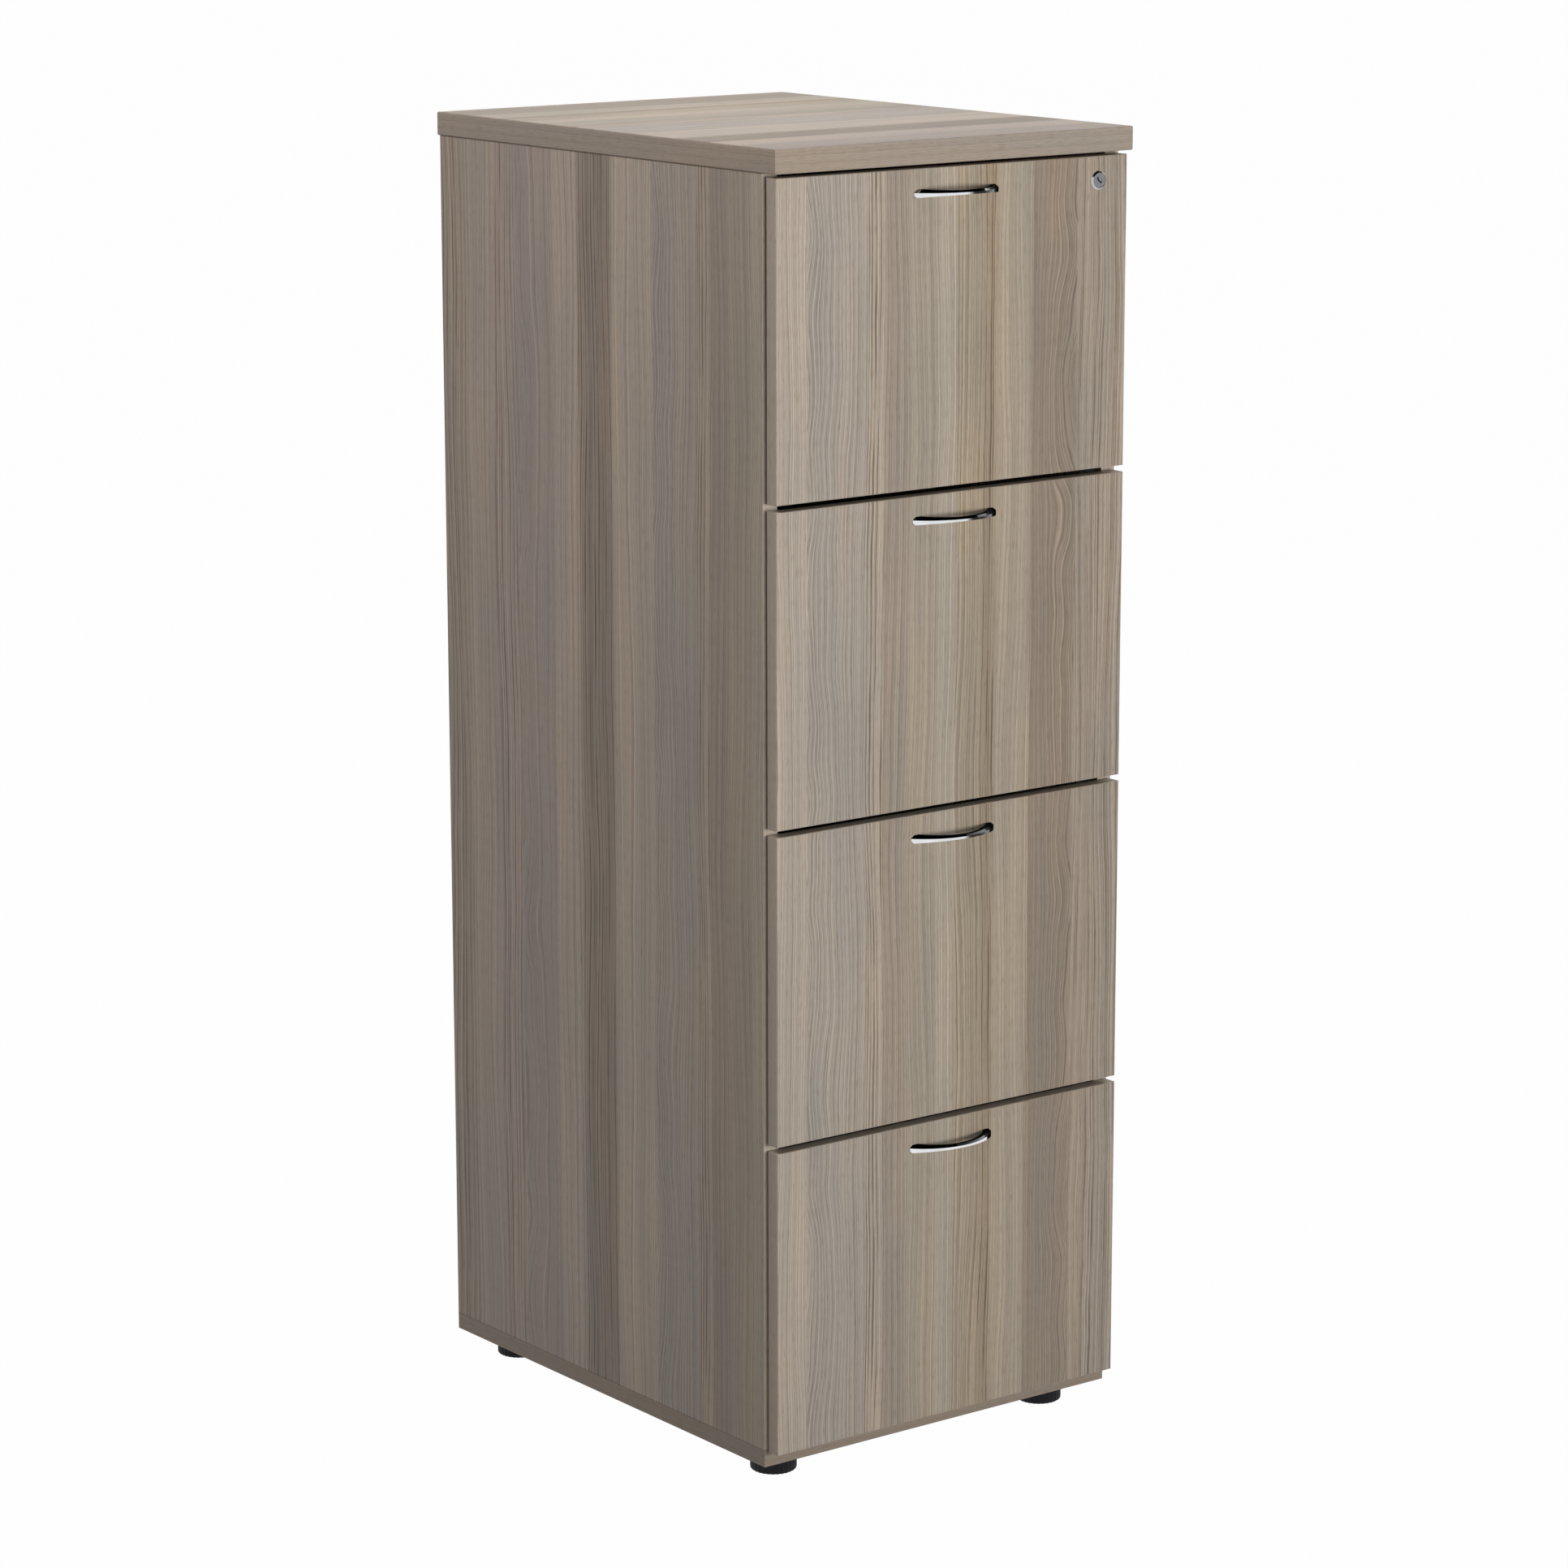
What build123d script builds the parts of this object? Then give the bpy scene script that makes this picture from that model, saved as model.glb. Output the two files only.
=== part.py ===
from build123d import *
import os
from math import cos, pi, radians, sin, sqrt, tan

# Four-drawer filing cabinet of wood-effect board, with steel trays on telescopic runners,
# bow handles, a central lock and levelling feet.
# Millimetres, +Z up, front towards -Y, +X to the right as seen from the front.
# The origin is on the floor, in the middle of the box round the whole cabinet.

# Top, sides, bottom and back
top_width = 464.0
top_depth = 600.0
top_thick = 25.0
top_side_overhang = 0.5
top_back_overhang = 4.0
side_height = 1323.0
side_thick = 18.0
bottom_thick = 18.0
back_thick = 8.0
back_inset = 10.0
groove_depth = 7.0
groove_clearance = 0.2
edge_round = 1.5

# Loose tongues that join the sides to the top and the bottom
tongue_thick = 6.0
tongue_in_face = 8.0
tongue_in_edge = 12.0
tongue_clearance = 0.1
tongue_end_space = 1.0
tongue_margin = 40.0

# Drawer fronts
drawer_count = 4
front_thick = 16.0
front_setback = 3.5
front_back_gap = 2.5
front_reveal = 3.5
front_top_gap = 4.0
front_gap = 6.75
front_bottom_lap = 1.25

# Bow handles
handle_length = 110.0
handle_projection = 25.0
handle_drop = 25.0
handle_hole_spacing = 96.0
handle_end_height = 8.4
handle_middle_height = 4.8
handle_middle_lift = 0.4
handle_thick = 5.5
handle_foot = 10.5
handle_tip = 0.4
handle_corner_share = 0.38
handle_upper_slant = 5.0
handle_lower_slant = 6.0
handle_bevel_angle = 45.0
handle_bevel_rise = 0.8
handle_skin = 1.0

# Screws of the handles, in prisms of few sides because they repeat
screw_diameter = 4.0
screw_head_diameter = 8.0
screw_head_height = 2.5
screw_sides = 12
screw_clearance = 0.25
screw_grip_clearance = 0.05
screw_end_space = 0.5

# Folded steel trays with a file rail along each side
sheet = 1.0
tray_lift = 15.0
tray_headroom = 65.0
tray_back_space = 30.0
tray_bend = 3.0
rail_thick = 2.0
rail_height = 10.0

# Telescopic runners, three channels that nest in the gap beside the tray
runner_gap = 12.7
runner_length = 500.0
runner_setback = 4.0
runner_height = 45.0
runner_wall = 1.2
runner_play = 0.4
runner_rise = 90.0
runner_bend = 1.0
runner_lip_space = 2.5

# Lock in the top drawer's front
lock_inset = 39.0
lock_drop = 25.0
lock_head_diameter = 19.4
lock_head_proud = 1.6
lock_face_diameter = 15.2
lock_face_depth = 1.8
lock_face_recess = 0.2
lock_face_play = 0.3
lock_rim = 0.4
lock_body_diameter = 17.0
lock_body_behind = 8.0
lock_hole_clearance = 0.2
lock_nut_width = 24.0
lock_nut_thick = 5.0
rotor_diameter = 12.0
rotor_clearance = 0.05
rotor_tail = 6.0
keyway_upper = (-2.8, 3.4)
keyway_bend = (-0.6, -0.4)
keyway_lower = (3.1, -2.7)
keyway_width = 2.0
keyway_depth = 9.0

# Drive from the rotor to the lock bar
cam_width = 11.0
cam_heel = 6.0
cam_toe = 4.0
cam_thick = 3.0
cam_space = 0.5
cam_radius = 7.0
cam_rest_angle = 45.0
drive_pin_diameter = 5.0
drive_pin_space = 3.0
driver_thick = 2.0
driver_margin = 4.0
driver_play = 0.6
driver_gap = 3.5

# Lock bar in a groove of the right side, with a pin for each drawer
bar_width = 19.0
bar_thick = 5.5
bar_play = 0.5
bar_end_margin = 25.0
bar_pin_diameter = 5.0
bar_pin_sides = 16
bar_pin_end_space = 0.7
clip_thick = 1.5
clip_length = 34.0
clip_height = 14.0
clip_rise = 40.0

# Catch on the right side of each tray
catch_rise = 175.0
catch_length = 18.0
catch_height = 16.0
catch_reach = 6.0
catch_base = 1.5
catch_nose = 5.0
catch_tail = 6.0
catch_flange = 12.0
catch_pin_gap = 1.2

# Levelling feet and their threaded sleeves in the bottom
foot_height = 25.0
foot_diameter = 49.4
foot_side_inset = 49.2
foot_front_inset = 50.0
foot_back_inset = 49.4
foot_top_space = 0.5
foot_bevel = 1.5
foot_rib_count = 28
foot_rib_depth = 0.8
stem_diameter = 10.0
stem_sides = 16
stem_reach = 21.0
stem_floor = 8.0
stem_slot_width = 1.6
stem_slot_depth = 2.0
stem_clearance = 0.05
sleeve_wall = 2.5
sleeve_sides = 12
sleeve_clearance = 0.05

# Places across the cabinet
carcass_width = top_width - 2 * top_side_overhang
inner_half = carcass_width / 2 - side_thick
side_middle = inner_half + side_thick / 2
front_width = carcass_width - 2 * front_reveal
tray_half = inner_half - runner_gap

# Places from front to back
handle_reach = handle_projection - front_setback
top_back = (handle_reach + top_depth) / 2
top_front = top_back - top_depth
front_face = top_front + front_setback
front_back = front_face + front_thick
carcass_front = front_back + front_back_gap
carcass_back = top_back - top_back_overhang
carcass_depth = carcass_back - carcass_front
carcass_middle = (carcass_front + carcass_back) / 2
back_face = carcass_back - back_inset - back_thick
back_middle = back_face + back_thick / 2
back_slot = back_thick + 2 * groove_clearance
tray_depth = back_face - tray_back_space - front_back
tray_middle = front_back + tray_depth / 2
runner_front = carcass_front + runner_setback
runner_back = runner_front + runner_length

# Heights
side_low = foot_height + bottom_thick
top_low = side_low + side_height
fronts_height = side_height - front_top_gap + front_bottom_lap
front_height = (fronts_height - (drawer_count - 1) * front_gap) / drawer_count
front_pitch = front_height + front_gap
front_lows = [
    top_low - front_top_gap - front_height - drawer * front_pitch
    for drawer in range(drawer_count)
]
tray_height = front_height - tray_lift - tray_headroom

# Lock, cam and bar
lock_x = front_width / 2 - lock_inset
lock_z = front_lows[0] + front_height - lock_drop
lock_axis = Axis((lock_x, 0, lock_z), (0, 1, 0))
lock_plane = Plane(origin=(lock_x, 0, lock_z), x_dir=(1, 0, 0), z_dir=(0, 0, 1))
lock_head_front = front_face - lock_head_proud
lock_body_back = front_back + lock_body_behind
rotor_front = lock_head_front + lock_face_recess
cam_front = lock_body_back + cam_space
cam_back = cam_front + cam_thick
cam_pin_x = lock_x + cam_radius * cos(radians(cam_rest_angle))
cam_pin_z = lock_z + cam_radius * sin(radians(cam_rest_angle))
bar_front = cam_back + driver_gap
bar_middle = bar_front + bar_width / 2
bar_face = inner_half + bar_play
bar_pin_end = tray_half + catch_base + bar_pin_end_space
catch_front = bar_middle + bar_pin_diameter / 2 + catch_pin_gap
driver_half = drive_pin_diameter / 2 + driver_play + driver_margin

# Feet
foot_spacing_x = carcass_width - 2 * foot_side_inset
foot_spacing_y = carcass_depth - foot_front_inset - foot_back_inset
foot_front = carcass_front + foot_front_inset
foot_middle = foot_front + foot_spacing_y / 2
foot_places = {
    "front_left": (-foot_spacing_x / 2, foot_front),
    "front_right": (foot_spacing_x / 2, foot_front),
    "back_left": (-foot_spacing_x / 2, foot_front + foot_spacing_y),
    "back_right": (foot_spacing_x / 2, foot_front + foot_spacing_y),
}
sleeve_radius = stem_diameter / 2 + stem_clearance + sleeve_wall

forward = (90, 0, 0)
backward = (-90, 0, 0)
from_start = (Align.CENTER, Align.CENTER, Align.MIN)

os.makedirs("parts", exist_ok=True)


def keep(piece, name):
    """Labels a finished piece and writes it under its name."""
    piece.part.label = name
    export_step(piece.part, f"parts/{name}.step")


def catch_top(drawer):
    """Height of the top of a drawer's catch."""
    return front_lows[drawer] + tray_lift + catch_rise


def bar_pin_height(drawer):
    """Height of the bar's pin for a drawer, clear above the catch."""
    return catch_top(drawer) + catch_pin_gap + bar_pin_diameter / 2


def tongue_strips(low, height, clearance, mode):
    """Strips along the middle of both sides, from a height upwards: tongues, or the grooves for them."""
    width = tongue_thick + 2 * clearance
    length = carcass_depth - 2 * (tongue_margin - clearance)
    with Locations((-side_middle, carcass_middle, low), (side_middle, carcass_middle, low)):
        Box(width, length, height, align=from_start, mode=mode)


def back_groove(low):
    """Cuts the back panel's groove across a board, from a height upwards."""
    with Locations((0, back_middle, low)):
        width = 2 * (inner_half + groove_depth)
        Box(width, back_slot, groove_depth, align=from_start, mode=Mode.SUBTRACT)


# Top panel, with its edges rounded and grooves for the back and the tongues
with BuildPart() as top_panel:
    with BuildSketch(Plane.XY.offset(top_low)):
        with Locations((0, top_front + top_depth / 2)):
            Rectangle(top_width, top_depth)
    extrude(amount=top_thick)
    fillet(top_panel.faces().sort_by(Axis.Z)[-1].edges(), edge_round)
    fillet(top_panel.faces().sort_by(Axis.Z)[0].edges(), edge_round)
    back_groove(top_low)
    tongue_strips(top_low, tongue_in_face, tongue_clearance, Mode.SUBTRACT)
keep(top_panel, "top_panel")

# Bottom panel, with the same grooves and holes for the feet's sleeves
with BuildPart() as bottom_panel:
    with BuildSketch(Plane.XY.offset(foot_height)):
        with Locations((0, carcass_middle)):
            Rectangle(carcass_width, carcass_depth)
        with Locations((0, foot_middle)):
            with GridLocations(foot_spacing_x, foot_spacing_y, 2, 2):
                RegularPolygon(sleeve_radius + sleeve_clearance, sleeve_sides, mode=Mode.SUBTRACT)
    extrude(amount=bottom_thick)
    back_groove(side_low - groove_depth)
    tongue_strips(side_low - tongue_in_face, tongue_in_face, tongue_clearance, Mode.SUBTRACT)
keep(bottom_panel, "bottom_panel")


def side_panel(side):
    """Side panel with grooves for the back and the tongues; the right one also has the bar's groove."""
    with BuildPart() as panel:
        with BuildSketch(Plane.XY.offset(side_low)):
            with Locations((side * side_middle, carcass_middle)):
                Rectangle(side_thick, carcass_depth)
            with Locations((side * (inner_half + groove_depth / 2), back_middle)):
                Rectangle(groove_depth, back_slot, mode=Mode.SUBTRACT)
            if side > 0:
                groove = bar_thick + 2 * bar_play
                with Locations((inner_half + groove / 2, bar_middle)):
                    Rectangle(groove, bar_width + 2 * bar_play, mode=Mode.SUBTRACT)
        extrude(amount=side_height)
        for low in (side_low, top_low - tongue_in_edge):
            tongue_strips(low, tongue_in_edge, tongue_clearance, Mode.SUBTRACT)
    return panel


keep(side_panel(-1), "left_side_panel")
keep(side_panel(1), "right_side_panel")

# Back panel, held in grooves all round
with BuildPart() as back_panel:
    tongue = groove_depth - groove_clearance
    with BuildSketch(Plane.XY.offset(side_low - tongue)):
        with Locations((0, back_middle)):
            Rectangle(2 * (inner_half + tongue), back_thick)
    extrude(amount=side_height + 2 * tongue)
keep(back_panel, "back_panel")

# Loose tongues at the top and bottom of both sides
with BuildPart() as carcass_tongues:
    tongue_height = tongue_in_face + tongue_in_edge - 2 * tongue_end_space
    for low in (side_low - tongue_in_face, top_low - tongue_in_edge):
        tongue_strips(low + tongue_end_space, tongue_height, 0, Mode.ADD)
keep(carcass_tongues, "carcass_tongues")


def handle_height(drawer):
    """Height of a handle's middle line."""
    return front_lows[drawer] + front_height - handle_drop


def handle_seats(drawer):
    """Places of a handle's two screws on an upright plane."""
    return [(side * handle_hole_spacing / 2, handle_height(drawer)) for side in (-1, 1)]


def drawer_front(drawer):
    """Board front with rounded edges, bored for the handle's screws and, on the top drawer, for the lock."""
    with BuildPart() as front:
        with BuildSketch(Plane.XZ.offset(-front_back)):
            with Locations((0, front_lows[drawer] + front_height / 2)):
                Rectangle(front_width, front_height)
        extrude(amount=front_thick)
        fillet(front.faces().sort_by(Axis.Y)[0].edges(), edge_round)
        with BuildSketch(Plane.XZ.offset(-front_back)):
            with Locations(*handle_seats(drawer)):
                RegularPolygon(screw_diameter / 2 + screw_clearance, screw_sides)
        extrude(amount=front_thick, mode=Mode.SUBTRACT)
        if drawer == 0:
            with Locations((lock_x, front_back, lock_z)):
                radius = lock_body_diameter / 2 + lock_hole_clearance
                Cylinder(radius, front_thick, rotation=forward, align=from_start, mode=Mode.SUBTRACT)
    return front


# The bow's outer face is an arc from tip to tip, and its inner face a flatter one between the feet
bow_half = handle_length / 2 + handle_tip
bow_inner_half = handle_length / 2 - handle_foot
bow_radius = (bow_half**2 + handle_projection**2) / (2 * handle_projection)
bow_front = front_face - handle_projection
bow_back = bow_front + handle_thick


def handle_grip_depth():
    """Depth of a screw hole in a handle's foot, leaving a skin inside the bow's outer arc and its bevel."""
    reach = (screw_diameter / 2 + screw_grip_clearance) / sqrt(2)
    inset = max(reach - handle_bevel_rise, 0) / tan(radians(handle_bevel_angle))
    edge = handle_hole_spacing / 2 + reach
    rise = sqrt((bow_radius - inset) ** 2 - edge**2) - (bow_radius - handle_projection)
    return rise - handle_skin


def bow_handle(drawer):
    """Bow with tall rounded feet, trimmed by slanted curved cuts to a slim middle and bevelled in front."""
    handle_z = handle_height(drawer)
    with BuildPart() as handle:
        with BuildSketch(Plane.XY.offset(handle_z - handle_end_height / 2)):
            with BuildLine():
                ThreePointArc((-bow_half, front_face), (0, bow_front), (bow_half, front_face))
                Line((bow_half, front_face), (bow_inner_half, front_face))
                ThreePointArc((bow_inner_half, front_face), (0, bow_back), (-bow_inner_half, front_face))
                Line((-bow_inner_half, front_face), (-bow_half, front_face))
            make_face()
        extrude(amount=handle_end_height)
        with BuildSketch(Plane.XZ.offset(-front_face)):
            with Locations((0, handle_z)):
                RectangleRounded(handle_length, handle_end_height, handle_end_height * handle_corner_share)
        extrude(amount=2 * handle_projection, mode=Mode.INTERSECT)
        for side, slant in ((1, radians(handle_upper_slant)), (-1, radians(handle_lower_slant))):
            cut = Plane(
                origin=(0, bow_back, handle_z + handle_middle_lift + side * handle_middle_height / 2),
                x_dir=(1, 0, 0),
                z_dir=(0, -cos(slant), -side * sin(slant)),
            )
            rise = ((handle_end_height - handle_middle_height) / 2 - side * handle_middle_lift) * cos(slant)
            foot_edge = side * (rise - (front_face - bow_back) * sin(slant))
            cut_end = foot_edge * (handle_length / bow_inner_half) ** 2
            with BuildSketch(cut):
                with BuildLine():
                    ThreePointArc((-handle_length, cut_end), (0, 0), (handle_length, cut_end))
                    Polyline(
                        (handle_length, cut_end),
                        (handle_length, side * handle_length),
                        (-handle_length, side * handle_length),
                        (-handle_length, cut_end),
                    )
                make_face()
            extrude(amount=2 * handle_projection, both=True, mode=Mode.SUBTRACT)
        bevel_low = handle_z + handle_bevel_rise
        bevel_high = handle_z + handle_end_height
        bevel_depth = (bevel_high - bevel_low) / tan(radians(handle_bevel_angle))
        with BuildSketch(Plane.YZ):
            with BuildLine():
                Polyline(
                    (bow_front - handle_skin, bevel_low),
                    (bow_front, bevel_low),
                    (bow_front + bevel_depth, bevel_high),
                    (bow_front - handle_skin, bevel_high),
                    close=True,
                )
            make_face()
        revolve(axis=Axis((0, bow_front + bow_radius, 0), (0, 0, 1)), mode=Mode.SUBTRACT)
        with BuildSketch(Plane.XZ.offset(-front_face)):
            with Locations(*handle_seats(drawer)):
                RegularPolygon(screw_diameter / 2 + screw_grip_clearance, screw_sides)
        extrude(amount=handle_grip_depth(), mode=Mode.SUBTRACT)
    return handle


def tray(drawer):
    """Steel tray folded up from its bottom, open at the top, with a file rail along each side."""
    low = front_lows[drawer] + tray_lift
    with BuildPart() as shell:
        with BuildSketch(Plane.XY.offset(low)):
            with Locations((0, tray_middle)):
                Rectangle(2 * tray_half, tray_depth)
        extrude(amount=tray_height)
        fillet(shell.faces().sort_by(Axis.Z)[0].edges().filter_by(Axis.Y), tray_bend)
        offset(amount=-sheet, openings=shell.faces().sort_by(Axis.Z)[-1])
        with BuildSketch(Plane.XY.offset(low + tray_height - rail_height)):
            rail_x = tray_half - sheet - rail_thick / 2
            with Locations((-rail_x, tray_middle), (rail_x, tray_middle)):
                Rectangle(rail_thick, tray_depth - 2 * sheet)
        extrude(amount=rail_height)
    return shell


def handle_screws(drawer):
    """The two screws of a handle, with their heads behind the front."""
    shank = front_thick + handle_grip_depth() - screw_end_space
    with BuildPart() as screws:
        for diameter, length in ((screw_diameter, shank), (screw_head_diameter, -screw_head_height)):
            with BuildSketch(Plane.XZ.offset(-front_back)):
                with Locations(*handle_seats(drawer)):
                    RegularPolygon(diameter / 2, screw_sides)
            extrude(amount=length)
    return screws


def runner_pair(drawer, web, lip, half_height):
    """One channel of the runners on both sides, its web and lips at set distances from the side panels."""
    z_middle = front_lows[drawer] + tray_lift + runner_rise
    hollow_web = web + runner_wall if lip > web else web - runner_wall
    with BuildPart() as channel:
        with BuildSketch(Plane.XZ.offset(-runner_back)):
            with Locations((inner_half - (web + lip) / 2, z_middle)):
                Rectangle(abs(lip - web), 2 * half_height)
            with Locations((inner_half - (hollow_web + lip) / 2, z_middle)):
                inside = 2 * (half_height - runner_wall)
                Rectangle(abs(lip - hollow_web), inside, mode=Mode.SUBTRACT)
        extrude(amount=runner_length)
        bends = channel.edges().filter_by(Axis.Y).group_by(Axis.X)[-1 if lip > web else 0]
        chamfer(bends, runner_bend)
        mirror(about=Plane.YZ)
    return channel


def catch(drawer):
    """Wedge on the tray's right side: an upright face behind the bar's pin and a ramp towards the back."""
    top = catch_top(drawer)
    low = top - catch_height
    back = catch_front + catch_length
    with BuildPart() as hook:
        with BuildSketch(Plane.YZ.offset(tray_half)):
            with BuildLine():
                Polyline(
                    (catch_front, low),
                    (catch_front, top),
                    (catch_front + catch_nose, top),
                    (back, low + catch_tail),
                    (back, low),
                    close=True,
                )
            make_face()
        extrude(amount=catch_reach)
        with BuildSketch(Plane.YZ.offset(tray_half)):
            with Locations(((catch_front + back) / 2, low - catch_flange / 2)):
                Rectangle(catch_length, catch_flange)
        extrude(amount=catch_base)
    return hook


outer_half = runner_height / 2
middle_half = outer_half - runner_wall - runner_play
inner_runner_half = middle_half - runner_wall - runner_play
middle_web = runner_wall + runner_play
inner_lip = middle_web + runner_wall + runner_play

for drawer in range(drawer_count):
    name = f"drawer_{drawer + 1}"
    keep(drawer_front(drawer), f"{name}_front")
    keep(bow_handle(drawer), f"{name}_handle")
    keep(tray(drawer), f"{name}_tray")
    keep(handle_screws(drawer), f"{name}_handle_screws")
    keep(catch(drawer), f"{name}_catch")
    keep(runner_pair(drawer, 0, runner_gap - runner_lip_space, outer_half), f"{name}_outer_runners")
    keep(runner_pair(drawer, middle_web, runner_gap - runner_lip_space, middle_half), f"{name}_middle_runners")
    keep(runner_pair(drawer, runner_gap, inner_lip, inner_runner_half), f"{name}_inner_runners")

# Lock barrel with a tapered head on the front and a threaded body through it
with BuildPart() as lock_barrel:
    face_radius = lock_face_diameter / 2 + rotor_clearance
    rim_radius = face_radius + lock_rim
    head_radius = lock_head_diameter / 2
    bore_radius = rotor_diameter / 2 + rotor_clearance
    seat = rotor_front + lock_face_depth + lock_face_play
    with BuildSketch(lock_plane):
        with BuildLine():
            Polyline(
                (face_radius, lock_head_front),
                (rim_radius, lock_head_front),
                (head_radius, front_face),
                (lock_body_diameter / 2, front_face),
                (lock_body_diameter / 2, lock_body_back),
                (bore_radius, lock_body_back),
                (bore_radius, seat),
                (face_radius, seat),
                close=True,
            )
        make_face()
    revolve(axis=lock_axis)
keep(lock_barrel, "lock_barrel")

# Hexagon nut that clamps the barrel against the back of the front
with BuildPart() as lock_nut:
    with BuildSketch(Plane.XZ.offset(-front_back - lock_nut_thick)):
        with Locations((lock_x, lock_z)):
            RegularPolygon(lock_nut_width / 2, 6, major_radius=False)
            Circle(lock_body_diameter / 2 + screw_grip_clearance, mode=Mode.SUBTRACT)
    extrude(amount=lock_nut_thick)
keep(lock_nut, "lock_nut")

# Rotor with a kinked keyway in its face and a square tail for the cam
with BuildPart() as lock_rotor:
    with BuildSketch(lock_plane):
        with BuildLine():
            Polyline(
                (0, rotor_front),
                (lock_face_diameter / 2, rotor_front),
                (lock_face_diameter / 2, rotor_front + lock_face_depth),
                (rotor_diameter / 2, rotor_front + lock_face_depth),
                (rotor_diameter / 2, cam_front),
                (0, cam_front),
                close=True,
            )
        make_face()
    revolve(axis=lock_axis)
    with BuildSketch(Plane.XZ.offset(-rotor_front)):
        with BuildLine():
            Polyline(*[(lock_x + x, lock_z + z) for x, z in (keyway_upper, keyway_bend, keyway_lower)])
        trace(line_width=keyway_width)
    extrude(amount=-keyway_depth, mode=Mode.SUBTRACT)
    with BuildSketch(Plane.XZ.offset(-cam_back)):
        with Locations((lock_x, lock_z)):
            Rectangle(rotor_tail, rotor_tail)
    extrude(amount=cam_thick)
keep(lock_rotor, "lock_rotor")

# Cam lever on the rotor's tail, with a pin at its end
with BuildPart() as lock_cam:
    with BuildSketch(Plane.XZ.offset(-cam_back)):
        lever_middle = (cam_radius + cam_toe - cam_heel) / 2
        lever_x = lock_x + lever_middle * cos(radians(cam_rest_angle))
        lever_z = lock_z + lever_middle * sin(radians(cam_rest_angle))
        with Locations((lever_x, lever_z)):
            Rectangle(cam_radius + cam_toe + cam_heel, cam_width, rotation=cam_rest_angle)
        with Locations((lock_x, lock_z)):
            tail_hole = rotor_tail + 2 * rotor_clearance
            Rectangle(tail_hole, tail_hole, mode=Mode.SUBTRACT)
    extrude(amount=cam_thick)
    with Locations((cam_pin_x, cam_back, cam_pin_z)):
        pin_length = driver_gap + driver_thick + drive_pin_space
        Cylinder(drive_pin_diameter / 2, pin_length, rotation=backward, align=from_start)
keep(lock_cam, "lock_cam")

# Flat bar that slides up and down in the right side's groove
bar_low = bar_pin_height(drawer_count - 1) - bar_end_margin
bar_high = cam_pin_z + driver_half
with BuildPart() as lock_bar:
    with BuildSketch(Plane.XY.offset(bar_low)):
        with Locations((bar_face + bar_thick / 2, bar_middle)):
            Rectangle(bar_thick, bar_width)
    extrude(amount=bar_high - bar_low)
keep(lock_bar, "lock_bar")

# Pins on the bar, one above each drawer's catch
with BuildPart() as lock_bar_pins:
    with BuildSketch(Plane.YZ.offset(bar_pin_end)):
        with Locations(*[(bar_middle, bar_pin_height(drawer)) for drawer in range(drawer_count)]):
            RegularPolygon(bar_pin_diameter / 2, bar_pin_sides)
    extrude(amount=bar_face - bar_pin_end)
keep(lock_bar_pins, "lock_bar_pins")

# Angle bracket on the bar, whose slot takes the cam's pin
with BuildPart() as lock_driver:
    driver_left = cam_pin_x - driver_half
    with BuildSketch(Plane.XY.offset(cam_pin_z - driver_half)):
        with BuildLine():
            Polyline(
                (driver_left, bar_front),
                (bar_face, bar_front),
                (bar_face, bar_front + bar_width),
                (bar_face - driver_thick, bar_front + bar_width),
                (bar_face - driver_thick, bar_front + driver_thick),
                (driver_left, bar_front + driver_thick),
                close=True,
            )
        make_face()
    extrude(amount=2 * driver_half)
    slot_half = drive_pin_diameter / 2 + driver_play
    slot_right = lock_x + cam_radius + slot_half
    slot_left = cam_pin_x - slot_half
    with BuildSketch(Plane.XZ.offset(-bar_front - driver_thick)):
        with Locations(((slot_left + slot_right) / 2, cam_pin_z)):
            SlotOverall(slot_right - slot_left, 2 * slot_half)
    extrude(amount=driver_thick, mode=Mode.SUBTRACT)
keep(lock_driver, "lock_driver")

# Clips that hold the bar in its groove, one beside each tray
with BuildPart() as lock_bar_clips:
    for low in front_lows:
        with BuildSketch(Plane.YZ.offset(inner_half - clip_thick)):
            with Locations((bar_middle, low + tray_lift + clip_rise)):
                Rectangle(clip_length, clip_height)
        extrude(amount=clip_thick)
keep(lock_bar_clips, "lock_bar_clips")

# Threaded sleeves in the bottom, many-sided so that they can't turn
with BuildPart() as foot_sleeves:
    with BuildSketch(Plane.XY.offset(foot_height)):
        with Locations((0, foot_middle)):
            with GridLocations(foot_spacing_x, foot_spacing_y, 2, 2):
                RegularPolygon(sleeve_radius, sleeve_sides)
                Circle(stem_diameter / 2 + stem_clearance, mode=Mode.SUBTRACT)
    extrude(amount=bottom_thick)
keep(foot_sleeves, "foot_sleeves")


def foot(x, y):
    """Round ribbed foot with a bevelled lower edge and a blind hole for its stem."""
    foot_top = foot_height - foot_top_space
    ribs = []
    for step in range(foot_rib_count):
        for radius, turn in ((foot_diameter / 2, 2 * step), (foot_diameter / 2 - foot_rib_depth, 2 * step + 1)):
            angle = turn * pi / foot_rib_count
            ribs.append((x + radius * cos(angle), y + radius * sin(angle)))
    with BuildPart() as pad:
        with BuildSketch():
            with BuildLine():
                Polyline(*ribs, close=True)
            make_face()
        extrude(amount=foot_top)
        chamfer(pad.faces().sort_by(Axis.Z)[0].edges(), foot_bevel)
        with Locations((x, y, stem_floor)):
            bore = stem_diameter / 2 + stem_clearance
            Cylinder(bore, foot_top - stem_floor, align=from_start, mode=Mode.SUBTRACT)
    return pad


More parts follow.
